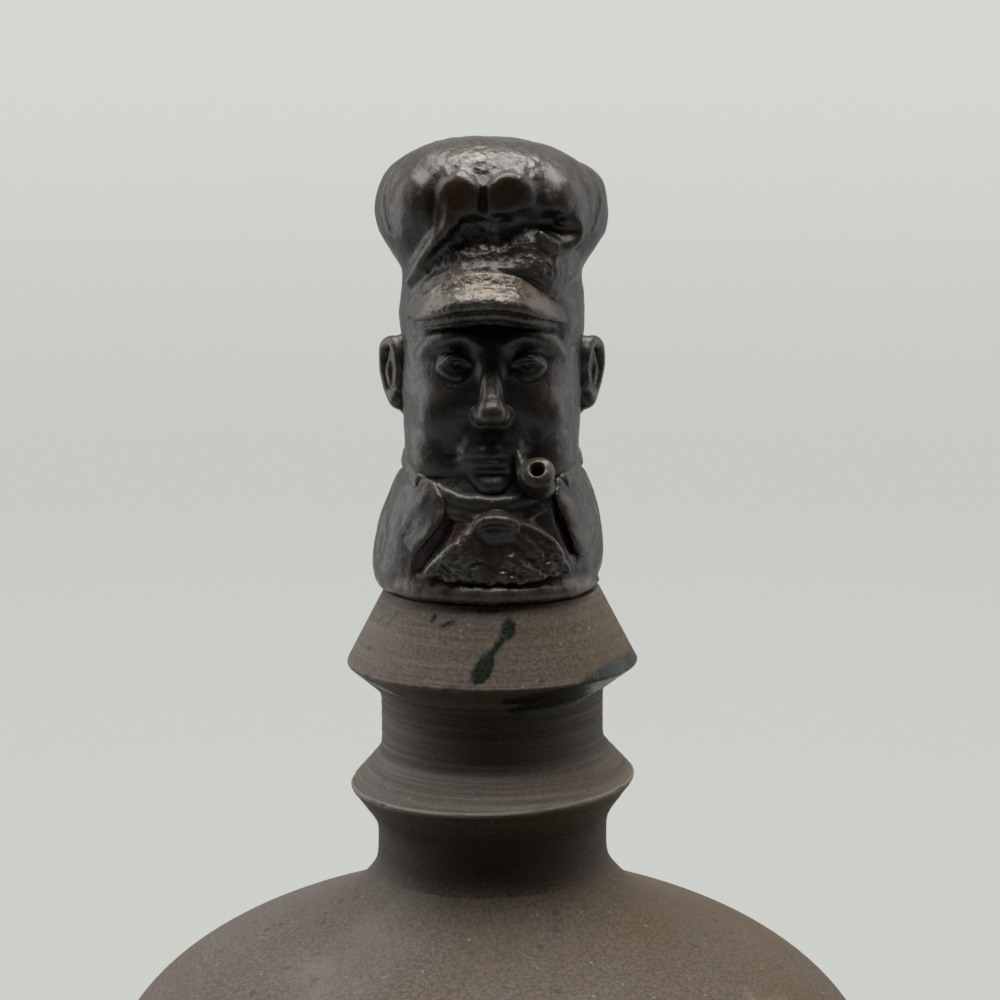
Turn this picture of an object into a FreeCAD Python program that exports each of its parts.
"""Stoneware liquor decanter whose stopper is a moulded bust of a man in a peaked cap, with a pipe.

Frame: +Z up, origin at the centre of the foot, the bust faces -Y. Millimetres and degrees.
The bottle is a thrown body and a thrown neck luted together. The stopper is a hollow bust with the
cap, peak, ears, pipe, neckerchief and lapels luted on, and a cork pushed onto the spigot under it.
"""

import FreeCAD
import Part
import Sketcher

import os
from types import SimpleNamespace

Vector = FreeCAD.Vector
Rotation = FreeCAD.Rotation
Placement = FreeCAD.Placement

X_AXIS = Vector(1, 0, 0)
Z_AXIS = Vector(0, 0, 1)

# Driving dimensions. A rise is counted from the level below it, and a lift from the nape.
SIZES = {
    # Thrown body
    "foot_radius": 43.0,
    "foot_bevel": 1.6,
    "foot_ring_width": 5.0,
    "foot_recess_depth": 3.0,
    "belly_radius": 57.0,
    "belly_height": 99.0,
    "shoulder_rise": 27.0,
    "collar_rise": 5.3,
    "collar_radius": 17.6,
    "collar_fillet": 5.5,
    "body_wall": 5.0,
    "base_thickness": 5.0,
    "crown_wall": 6.0,
    # Thrown neck
    "waist_rise": 4.4,
    "waist_radius": 16.8,
    "ring_foot_rise": 2.8,
    "ring_edge_rise": 5.5,
    "ring_radius": 20.8,
    "ring_band": 0.9,
    "throat_rise": 5.0,
    "throat_radius": 16.2,
    "lip_foot_rise": 7.9,
    "lip_edge_rise": 3.9,
    "lip_radius": 21.1,
    "lip_band": 0.8,
    "lip_top_rise": 10.0,
    "lip_top_radius": 15.6,
    "mouth_chamfer": 0.8,
    # Cork, and the spigot that holds it
    "cork_top_radius": 10.7,
    "cork_tip_radius": 9.6,
    "cork_length": 26.0,
    "cork_chamfer": 0.8,
    "cork_clearance": 0.15,
    "spigot_radius": 5.5,
    "spigot_length": 19.0,
    "spigot_clearance": 0.05,
    "spigot_end_gap": 0.6,
    "vent_radius": 1.5,
    # Jacket, the bust's shoulders
    "hem_half_width": 14.9,
    "jacket_rise": 4.0,
    "jacket_half_width": 16.65,
    "chest_rise": 6.5,
    "chest_half_width": 15.6,
    "nape_rise": 8.5,
    "nape_half_width": 11.6,
    # Head
    "skull_lift": 14.5,
    "skull_half_width": 12.3,
    "skull_half_depth": 12.6,
    "skull_half_height": 18.5,
    "face_lift": 5.6,
    "face_forward": 3.2,
    "face_half_width": 11.3,
    "face_half_depth": 11.2,
    "face_half_height": 12.6,
    "nose_lift": 9.6,
    "nose_half_width": 2.2,
    "nose_half_depth": 3.4,
    "nose_half_height": 4.8,
    "cavity_floor": 5.0,
    "cavity_roof": 5.0,
    "cavity_wall": 3.2,
    "crown_vent_radius": 3.0,
    # Cap: a band round the skull, and a puffed crown with pleats
    "band_lift": 20.5,
    "band_cover": 0.45,
    "band_rise": 7.3,
    "band_taper": 0.35,
    "puff_rise": 7.8,
    "puff_overhang": 3.9,
    "dome_rise": 9.7,
    "cap_wall": 4.0,
    "pleat_width": 4.0,
    "pleat_depth": 1.3,
    # Peak of the cap
    "peak_lift": 24.2,
    "peak_length": 5.8,
    "peak_drop": 5.6,
    "peak_spread": 0.7,
    "peak_thickness": 2.0,
    # Ears
    "ear_lift": 10.8,
    "ear_stand": 1.1,
    "ear_back": 1.0,
    "ear_half_thickness": 2.2,
    "ear_half_depth": 3.6,
    "ear_half_height": 6.1,
    "ear_hollow_depth": 0.9,
    "ear_rim": 1.7,
    # Pipe
    "mouth_lift": 1.8,
    "mouth_side": 3.0,
    "stem_radius": 0.85,
    "stem_length": 5.2,
    "bowl_radius": 2.6,
    "bowl_height": 5.0,
    "bowl_wall": 1.3,
    "bowl_depth": 2.6,
    # Neckerchief and lapels
    "scarf_drop": 3.8,
    "scarf_forward": 2.2,
    "scarf_ring_radius": 11.2,
    "scarf_roll_radius": 2.3,
    "knot_half_width": 3.3,
    "knot_half_depth": 2.0,
    "knot_half_height": 2.2,
    "tail_thickness": 0.8,
    "lapel_thickness": 0.9,
    # How far a cutting tool runs past what it cuts
    "overrun": 1.0,
}

PLEAT_COUNT = 12
PEAK_TILT = 12.0
EAR_TURN = 24.0
EAR_LEAN = 8.0
SCARF_TILT = 24.0

# Ways that the pipe's stem and bowl run
STEM_RUN = Vector(0.68, 0.21, -0.70).normalize()
BOWL_RUN = Vector(-0.10, -0.72, 0.68).normalize()

# Depth of the jacket from front to back, for its width
JACKET_DEPTH_SHARE = 0.95

# Corners of a lapel and of the scarf's ends: shares of the jacket's half width and of the nape's height
LAPEL_SHARES = ((0.36, 0.58), (0.64, 0.90), (0.82, 0.62), (0.72, 0.20), (0.60, 0.16))
TAIL_SHARES = ((0.30, 0.60), (0.59, 0.18), (0.50, 0.14))

# Two places nearer than this are the same place
TOLERANCE = 1e-6

doc = FreeCAD.newDocument("decanter")


class Size:
    """A length worked out from the sheet: the expression for it, and what that comes to."""

    def __init__(self, text, number):
        self.text = text
        self.number = number

    def __add__(self, other):
        other = as_size(other)
        return Size(f"({self.text} + {other.text})", self.number + other.number)

    def __sub__(self, other):
        other = as_size(other)
        return Size(f"({self.text} - {other.text})", self.number - other.number)

    def __mul__(self, other):
        other = as_size(other)
        return Size(f"({self.text} * {other.text})", self.number * other.number)

    def __truediv__(self, other):
        other = as_size(other)
        return Size(f"({self.text} / {other.text})", self.number / other.number)

    def __neg__(self):
        return Size(f"(0 - {self.text})", -self.number)

    def root(self):
        return Size(f"sqrt({self.text})", self.number**0.5)


def as_size(amount):
    """A plain number as a size, in brackets so that a minus sign can follow another one."""
    if isinstance(amount, Size):
        return amount
    return Size(f"({amount})", float(amount))


ZERO = as_size(0)
ONE = as_size(1)


def make_sheet():
    """Writes the driving dimensions, one aliased cell each, and gives them as sizes."""
    cells = doc.addObject("Spreadsheet::Sheet", "sizes")
    for row, (alias, number) in enumerate(SIZES.items(), start=1):
        cells.set(f"A{row}", alias)
        cells.set(f"B{row}", str(number))
        cells.setAlias(f"B{row}", alias)
    doc.recompute()
    named = {alias: Size(f"sizes.{alias}", float(cells.get(alias))) for alias in SIZES}
    return SimpleNamespace(**named)


size = make_sheet()

# Levels up the bottle
JOINT = size.belly_height + size.shoulder_rise + size.collar_rise
WAIST = JOINT + size.waist_rise
RING_FOOT = WAIST + size.ring_foot_rise
RING_EDGE = RING_FOOT + size.ring_edge_rise
RING_TOP = RING_EDGE + size.ring_band
THROAT = RING_TOP + size.throat_rise
LIP_FOOT = THROAT + size.lip_foot_rise
LIP_EDGE = LIP_FOOT + size.lip_edge_rise
LIP_SHOULDER = LIP_EDGE + size.lip_band
LIP = LIP_SHOULDER + size.lip_top_rise

# Levels up the stopper
CORK_TIP = LIP - size.cork_length
JACKET = LIP + size.jacket_rise
CHEST = JACKET + size.chest_rise
NAPE = CHEST + size.nape_rise
BAND = NAPE + size.band_lift
BAND_TOP = BAND + size.band_rise
PUFF = BAND_TOP + size.puff_rise

# Radii that neighbours share
BORE = size.cork_tip_radius + size.cork_clearance
BAND_RADIUS = size.skull_half_depth + size.band_cover
BAND_TOP_RADIUS = BAND_RADIUS - size.band_taper
PUFF_RADIUS = BAND_TOP_RADIUS + size.puff_overhang


class Outline:
    """A closed sketch in a body's XZ plane, with every corner tied to the sheet."""

    def __init__(self, body, name, x, z):
        """Starts the outline at the corner (x, z)."""
        self.sketch = body.newObject("Sketcher::SketchObject", name)
        plane = [item for item in body.Origin.OriginFeatures if item.Role == "XZ_Plane"][0]
        self.sketch.AttachmentSupport = [(plane, "")]
        self.sketch.MapMode = "FlatFace"
        self.ties = 0
        self.start = (x, z)
        self.here = Vector(x.number, z.number, 0)
        self.first_end = None
        self.last_end = None

    def constrain(self, *rule):
        return self.sketch.addConstraint(Sketcher.Constraint(*rule))

    def tie(self, kind, end, amount):
        """Holds one coordinate of a point to a size, or to the axis where that is zero."""
        if amount is ZERO:
            self.constrain("PointOnObject", *end, -2 if kind == "DistanceX" else -1)
            return
        self.ties += 1
        name = f"tie_{self.ties}"
        self.sketch.renameConstraint(self.constrain(kind, -1, 1, *end, amount.number), name)
        self.sketch.setExpression(f"Constraints.{name}", amount.text)

    def add(self, curve, there):
        """Adds one side from here to there, joins it to the side before and gives its far end."""
        index = self.sketch.addGeometry(curve)
        ends = [(index, 1), (index, 2)]
        near, far = sorted(ends, key=lambda end: self.sketch.getPoint(*end).distanceToPoint(self.here))
        if self.last_end:
            self.constrain("Coincident", *self.last_end, *near)
        else:
            self.first_end = near
            self.tie("DistanceX", near, self.start[0])
            self.tie("DistanceY", near, self.start[1])
        self.last_end = far
        self.here = there
        return far

    def line(self, x, z):
        """A straight side to (x, z)."""
        there = Vector(x.number, z.number, 0)
        far = self.add(Part.LineSegment(self.here, there), there)
        self.tie("DistanceX", far, x)
        self.tie("DistanceY", far, z)

    def arc(self, x, z, level):
        """A round side to (x, z) whose centre is at this level."""
        here, there = self.here, Vector(x.number, z.number, 0)
        rise, fall = here.y - level.number, there.y - level.number
        across = (here.x**2 - there.x**2 + rise**2 - fall**2) / (2 * (here.x - there.x))
        centre = Vector(across, level.number, 0)
        middle = ((here + there) / 2 - centre).normalize()
        crest = centre + middle * centre.distanceToPoint(here)
        far = self.add(Part.Arc(here, crest, there), there)
        self.tie("DistanceX", far, x)
        self.tie("DistanceY", far, z)
        self.tie("DistanceY", (far[0], 3), level)

    def oval(self, x, level, rise):
        """A quarter oval about the axis at this level, from its widest point here in to x."""
        reach, height = self.here.x, level.number
        crest = Vector(0, height + rise.number, 0)
        whole = Part.Ellipse(self.here, crest, Vector(0, height, 0))
        there = Vector(x.number, height + rise.number * (1 - (x.number / reach) ** 2) ** 0.5, 0)
        far = self.add(Part.ArcOfEllipse(whole, 0.0, whole.parameter(there)), there)
        self.tie("DistanceX", far, x)
        self.sketch.exposeInternalGeometry(far[0])
        across, upright = far[0] + 1, far[0] + 2
        self.constrain("Horizontal", across)
        self.tie("DistanceX", (far[0], 3), ZERO)
        self.tie("DistanceY", (far[0], 3), level)
        ends = {self.sketch.getPoint(upright, end).y: end for end in (1, 2)}
        self.tie("DistanceY", (upright, ends[max(ends)]), level + rise)

    def close(self):
        """A straight side back to the first corner."""
        first = Vector(self.start[0].number, self.start[1].number, 0)
        far = self.add(Part.LineSegment(self.here, first), first)
        self.constrain("Coincident", *far, *self.first_end)
        doc.recompute()
        return self.sketch


def new_body(name):
    return doc.addObject("PartDesign::Body", name)


def turned(body, kind, name, sketch):
    """A full turn of a sketch about the upright axis, added to the body or cut out of it."""
    feature = body.newObject(f"PartDesign::{kind}", name)
    feature.Profile = sketch
    feature.ReferenceAxis = (sketch, ["V_Axis"])
    feature.Angle = 360.0
    doc.recompute()
    return feature


def set_sizes(feature, **sizes):
    """Ties properties of a feature to sizes."""
    for name, amount in sizes.items():
        feature.setExpression(name, amount.text)
    return feature


def place(feature, x=ZERO, y=ZERO, z=ZERO, turn=Rotation()):
    """Turns a feature and ties its place to sizes."""
    feature.Placement = Placement(Vector(x.number, y.number, z.number), turn)
    for axis, amount in (("x", x), ("y", y), ("z", z)):
        if amount is not ZERO:
            feature.setExpression(f".Placement.Base.{axis}", amount.text)
    return feature


def egg(name, half_width, half_depth, half_height, **where):
    """An ellipsoid."""
    made = doc.addObject("Part::Ellipsoid", name)
    set_sizes(made, Radius1=half_height, Radius2=half_width, Radius3=half_depth)
    return place(made, **where)


def rod(name, radius, height, **where):
    """A cylinder."""
    made = doc.addObject("Part::Cylinder", name)
    set_sizes(made, Radius=radius, Height=height)
    return place(made, **where)


def fused(name, *shapes):
    made = doc.addObject("Part::MultiFuse", name)
    made.Shapes = list(shapes)
    return made


def cut(name, base, *tools):
    """A shape with one or more tools cut out of it in turn."""
    for left, tool in reversed(list(enumerate(reversed(tools)))):
        made = doc.addObject("Part::Cut", f"{name}_before_{left}" if left else name)
        made.Base = base
        made.Tool = tool
        base = made
    return base


def common(name, base, tool):
    made = doc.addObject("Part::Common", name)
    made.Base = base
    made.Tool = tool
    return made


def mirrored(label, source):
    """The left-hand twin of a piece."""
    made = doc.addObject("Part::Mirroring", label)
    made.Source = source
    made.Normal = X_AXIS
    return made


def bottle_body():
    """Thrown belly, shoulder and collar, hollow, on a trimmed foot ring."""
    body = new_body("bottle_body")
    foot_inside = size.foot_radius - size.foot_bevel - size.foot_ring_width
    outer = Outline(body, "body_outline", ZERO, size.foot_recess_depth)
    outer.line(foot_inside - size.foot_recess_depth, size.foot_recess_depth)
    outer.line(foot_inside, ZERO)
    outer.line(size.foot_radius - size.foot_bevel, ZERO)
    outer.line(size.foot_radius, size.foot_bevel)
    outer.arc(size.belly_radius, size.belly_height, size.belly_height)
    outer.oval(size.collar_radius, size.belly_height, size.shoulder_rise)
    outer.line(size.collar_radius, JOINT)
    outer.line(ZERO, JOINT)
    turned(body, "Revolution", "body_form", outer.close())

    floor = size.foot_recess_depth + size.base_thickness
    inner = Outline(body, "body_hollow_outline", ZERO, floor)
    inner.line(size.foot_radius - size.body_wall, floor)
    inner.arc(size.belly_radius - size.body_wall, size.belly_height, size.belly_height)
    inner.oval(BORE, size.belly_height, size.shoulder_rise - size.crown_wall)
    inner.line(BORE, JOINT + size.overrun)
    inner.line(ZERO, JOINT + size.overrun)
    hollow = turned(body, "Groove", "body_hollow", inner.close())

    blend = body.newObject("PartDesign::Fillet", "collar_blend")
    for number, edge in enumerate(hollow.Shape.Edges, start=1):
        box = edge.BoundBox
        level = box.ZLength < TOLERANCE and box.ZMax < JOINT.number - TOLERANCE
        if level and abs(box.XMax - size.collar_radius.number) < TOLERANCE:
            blend.Base = (hollow, [f"Edge{number}"])
    set_sizes(blend, Radius=size.collar_fillet)
    return body


def bottle_neck():
    """Thrown neck with its bevelled ring and conical lip, bored for the cork."""
    body = new_body("bottle_neck")
    cork_taper = (size.cork_top_radius - size.cork_tip_radius) / size.cork_length
    seat = size.cork_top_radius + size.cork_clearance
    tube = Outline(body, "neck_outline", BORE, JOINT)
    tube.line(size.collar_radius, JOINT)
    tube.arc(size.waist_radius, WAIST, WAIST)
    tube.line(size.waist_radius, RING_FOOT)
    tube.line(size.ring_radius, RING_EDGE)
    tube.line(size.ring_radius, RING_TOP)
    tube.arc(size.throat_radius, THROAT, RING_FOOT)
    tube.line(size.throat_radius, LIP_FOOT)
    tube.line(size.lip_radius, LIP_EDGE)
    tube.line(size.lip_radius, LIP_SHOULDER)
    tube.line(size.lip_top_radius, LIP)
    tube.line(seat + size.mouth_chamfer, LIP)
    tube.line(seat - cork_taper * size.mouth_chamfer, LIP - size.mouth_chamfer)
    tube.line(BORE, CORK_TIP)
    turned(body, "Revolution", "neck_form", tube.close())
    return body


def stopper_cork():
    """Tapered natural cork with a blind bore for the spigot."""
    body = new_body("stopper_cork")
    bore = size.spigot_radius + size.spigot_clearance
    bore_end = LIP - size.spigot_length - size.spigot_end_gap
    plug = Outline(body, "cork_outline", ZERO, CORK_TIP)
    plug.line(size.cork_tip_radius - size.cork_chamfer, CORK_TIP)
    plug.line(size.cork_tip_radius, CORK_TIP + size.cork_chamfer)
    plug.line(size.cork_top_radius, LIP)
    plug.line(bore, LIP)
    plug.line(bore, bore_end)
    plug.line(ZERO, bore_end)
    turned(body, "Revolution", "cork_form", plug.close())
    return body


def jacket_form(name, grown):
    """The bust's shoulders as a loft of ovals, all grown by one size."""
    rings = []
    levels = {
        "hem": (LIP, size.hem_half_width),
        "jacket": (JACKET, size.jacket_half_width),
        "chest": (CHEST, size.chest_half_width),
        "nape": (NAPE, size.nape_half_width),
    }
    for level, (height, half_width) in levels.items():
        ring = doc.addObject("Part::Ellipse", f"{name}_{level}")
        half_depth = half_width * JACKET_DEPTH_SHARE
        set_sizes(ring, MajorRadius=half_width + grown, MinorRadius=half_depth + grown)
        rings.append(place(ring, z=height))
    loft = doc.addObject("Part::Loft", name)
    loft.Sections = rings
    loft.Solid = True
    return loft


def bust_form(jacket):
    """The bust before it is hollowed: jacket, skull, plain face, nose and spigot."""
    skull = egg(
        "skull",
        size.skull_half_width,
        size.skull_half_depth,
        size.skull_half_height,
        z=NAPE + size.skull_lift,
    )
    face = egg(
        "face",
        size.face_half_width,
        size.face_half_depth,
        size.face_half_height,
        y=-size.face_forward,
        z=NAPE + size.face_lift,
    )
    nose = egg(
        "nose",
        size.nose_half_width,
        size.nose_half_depth,
        size.nose_half_height,
        y=-(size.face_forward + size.face_half_depth),
        z=NAPE + size.nose_lift,
    )
    spigot = rod(
        "spigot",
        size.spigot_radius,
        size.spigot_length + size.jacket_rise,
        z=LIP - size.spigot_length,
    )
    return fused("bust_form", jacket, skull, face, nose, spigot)


def stopper_bust(form):
    """Hollow bust, vented through the spigot below and into the cap above."""
    floor = LIP + size.cavity_floor
    roof = NAPE + size.skull_lift + size.skull_half_height - size.cavity_roof
    half_width = size.nape_half_width - size.cavity_wall
    cavity = egg("cavity", half_width, half_width, (roof - floor) / 2, z=(roof + floor) / 2)
    vent_foot = LIP - size.spigot_length - size.overrun
    vent = rod("spigot_vent", size.vent_radius, floor + size.overrun - vent_foot, z=vent_foot)
    crown_foot = roof - size.cavity_roof
    crown_vent = rod("crown_vent", size.crown_vent_radius, PUFF - crown_foot, z=crown_foot)
    return cut("stopper_bust", form, cavity, vent, crown_vent)


def cap_form():
    """Band, puffed crown and dome of the cap in one, before it is pleated and hollowed."""
    body = new_body("cap_side")
    side = Outline(body, "cap_outline", ZERO, BAND)
    side.line(BAND_RADIUS, BAND)
    side.line(BAND_TOP_RADIUS, BAND_TOP)
    side.arc(PUFF_RADIUS, PUFF, PUFF)
    side.line(ZERO, PUFF)
    turned(body, "Revolution", "cap_turn", side.close())
    dome = egg("cap_dome", PUFF_RADIUS, PUFF_RADIUS, size.dome_rise, z=PUFF)
    dome.Angle1 = 0.0
    return fused("cap_form", body, dome)


def cap_crown(form, bust):
    """The cap: pleated outside, hollow inside, and fitted over the skull."""
    pleats = []
    valley = PUFF_RADIUS - size.pleat_depth
    for number in range(PLEAT_COUNT):
        turn = 360.0 * number / PLEAT_COUNT
        out = Rotation(Z_AXIS, turn).multVec(X_AXIS)
        pleat = doc.addObject("Part::Box", f"pleat_{number + 1}")
        set_sizes(pleat, Length=size.pleat_width, Width=size.pleat_width, Height=size.dome_rise * 2)
        corner_out = Rotation(Z_AXIS, turn - 45.0)
        place(pleat, x=valley * out.x, y=valley * out.y, z=PUFF - size.dome_rise, turn=corner_out)
        pleats.append(pleat)
    hollow_radius = PUFF_RADIUS - size.cap_wall
    hollow = egg("cap_hollow", hollow_radius, hollow_radius, size.dome_rise - size.cap_wall, z=PUFF)
    return cut("cap_crown", form, fused("pleats", *pleats), hollow, bust)


def peak_cone(name, top):
    """A blunt cone sloping out and down from the band, tipped so that its front is high."""
    cone = doc.addObject("Part::Cone", name)
    set_sizes(
        cone,
        Radius1=BAND_RADIUS + size.peak_length * 2,
        Radius2=BAND_RADIUS - size.peak_length,
        Height=size.peak_drop * 3,
    )
    return place(cone, z=top - size.peak_drop * 2, turn=Rotation(X_AXIS, -PEAK_TILT))


def cap_peak(cap, bust):
    """The cap's peak: a crescent of a conical shell, fitted to the band and the brow."""
    top = NAPE + size.peak_lift
    under = peak_cone("peak_under", top - size.peak_thickness)
    shell = cut("peak_shell", peak_cone("peak_top", top), under)
    plan_radius = BAND_RADIUS + size.peak_spread
    plan = rod("peak_plan", plan_radius, PUFF - LIP, y=-(size.peak_length - size.peak_spread), z=LIP)
    return cut("cap_peak", common("peak_crescent", shell, plan), cap, bust)


def ear_right(bust):
    """A cupped ear, turned a little forward and fitted to the side of the head."""
    turn = Rotation(Z_AXIS, EAR_TURN).multiply(Rotation(X_AXIS, -EAR_LEAN))
    out = turn.multVec(X_AXIS)
    x = size.skull_half_width + size.ear_stand
    z = NAPE + size.ear_lift
    shell = egg(
        "ear_shell",
        size.ear_half_thickness,
        size.ear_half_depth,
        size.ear_half_height,
        x=x,
        y=size.ear_back,
        z=z,
        turn=turn,
    )
    hollow = egg(
        "ear_hollow",
        size.ear_hollow_depth,
        size.ear_half_depth - size.ear_rim,
        size.ear_half_height - size.ear_rim,
        x=x + size.ear_half_thickness * out.x,
        y=size.ear_back + size.ear_half_thickness * out.y,
        z=z + size.ear_half_thickness * out.z,
        turn=turn,
    )
    return cut("ear_right", shell, hollow, bust)


def pipe(bust, scarf):
    """Tobacco pipe: a stem from the corner of the mouth down to a bored bowl beside the chin."""
    down = size.mouth_lift - size.face_lift
    across_share = size.mouth_side / size.face_half_width
    down_share = down / size.face_half_height
    front_share = (ONE - across_share * across_share - down_share * down_share).root()
    corner = {
        "x": size.mouth_side,
        "y": -(size.face_forward + size.face_half_depth * front_share),
        "z": NAPE + size.mouth_lift,
    }
    stem = rod("stem", size.stem_radius, size.stem_length, turn=Rotation(Z_AXIS, STEM_RUN), **corner)
    body = new_body("bowl_form")
    bowl = Outline(body, "bowl_outline", ZERO, ZERO)
    bowl.arc(size.bowl_radius, size.bowl_height / 2, size.bowl_height / 2)
    bowl.line(size.bowl_radius, size.bowl_height)
    bowl.line(size.bowl_radius - size.bowl_wall, size.bowl_height)
    bowl.line(size.bowl_radius - size.bowl_wall, size.bowl_height - size.bowl_depth)
    bowl.line(ZERO, size.bowl_height - size.bowl_depth)
    turned(body, "Revolution", "bowl_turn", bowl.close())
    foot = {}
    for axis, start in corner.items():
        end = start + size.stem_length * getattr(STEM_RUN, axis)
        foot[axis] = end - size.bowl_radius * getattr(BOWL_RUN, axis)
    place(body, turn=Rotation(Z_AXIS, BOWL_RUN), **foot)
    return cut("pipe", fused("pipe_form", stem, body), bust, scarf)


def front_prism(name, corners):
    """A pad from the middle of the bust forward, on an outline of shares seen from the front."""
    body = new_body(name)
    points = [(size.jacket_half_width * x, LIP + (NAPE - LIP) * z) for x, z in corners]
    outline = Outline(body, f"{name}_outline", *points[0])
    for x, z in points[1:]:
        outline.line(x, z)
    pad = body.newObject("PartDesign::Pad", f"{name}_pad")
    pad.Profile = outline.close()
    set_sizes(pad, Length=size.jacket_half_width + size.overrun)
    return body


def neckerchief_form(jacket):
    """A rolled scarf round the neck with a flat knot, and its ends spread over the chest."""
    roll = doc.addObject("Part::Torus", "scarf_roll")
    set_sizes(roll, Radius1=size.scarf_ring_radius, Radius2=size.scarf_roll_radius)
    centre = NAPE - size.scarf_drop
    tilt = Rotation(X_AXIS, SCARF_TILT)
    place(roll, y=-size.scarf_forward, z=centre, turn=tilt)
    front = tilt.multVec(Vector(0, -1, 0))
    knot = egg(
        "knot",
        size.knot_half_width,
        size.knot_half_depth,
        size.knot_half_height,
        y=(size.scarf_ring_radius + size.scarf_roll_radius) * front.y - size.scarf_forward,
        z=centre + (size.scarf_ring_radius + size.scarf_roll_radius) * front.z,
    )
    left = [(-x, z) for x, z in reversed(TAIL_SHARES)]
    prism = front_prism("tail_prism", list(TAIL_SHARES) + left)
    shell = cut("tail_shell", jacket_form("tail_jacket", size.tail_thickness), jacket)
    return fused("neckerchief_form", roll, knot, common("tails", shell, prism))


def lapel_right(jacket, bust, scarf):
    """A lapel lying on the jacket beside the scarf."""
    shell = cut("lapel_shell", jacket_form("lapel_jacket", size.lapel_thickness), jacket)
    prism = front_prism("lapel_prism", LAPEL_SHARES)
    return cut("lapel_right", common("lapel_form", shell, prism), bust, scarf)


def export(nodes):
    """Checks every object, then writes one STEP file for each node."""
    doc.recompute()
    for item in doc.Objects:
        if "Invalid" in item.State or "Error" in item.State:
            raise RuntimeError(f"{item.Label} failed: {item.State}")
    for node in nodes:
        if node.Shape.isNull() or not node.Shape.isValid() or not node.Shape.Solids:
            raise RuntimeError(f"{node.Label} has no valid solid")
    os.makedirs("parts", exist_ok=True)
    for node in nodes:
        node.Shape.exportStep(os.path.join("parts", f"{node.Label}.step"))
        print(node.Label, len(node.Shape.Solids), round(node.Shape.Volume))


def main():
    jacket = jacket_form("jacket", ZERO)
    bust = bust_form(jacket)
    cap = cap_form()
    scarf = neckerchief_form(jacket)
    right_ear = ear_right(bust)
    right_lapel = lapel_right(jacket, bust, scarf)
    export(
        [
            bottle_body(),
            bottle_neck(),
            stopper_cork(),
            stopper_bust(bust),
            cap_crown(cap, bust),
            cap_peak(cap, bust),
            right_ear,
            mirrored("ear_left", right_ear),
            pipe(bust, scarf),
            cut("neckerchief", scarf, bust),
            right_lapel,
            mirrored("lapel_left", right_lapel),
        ]
    )


main()
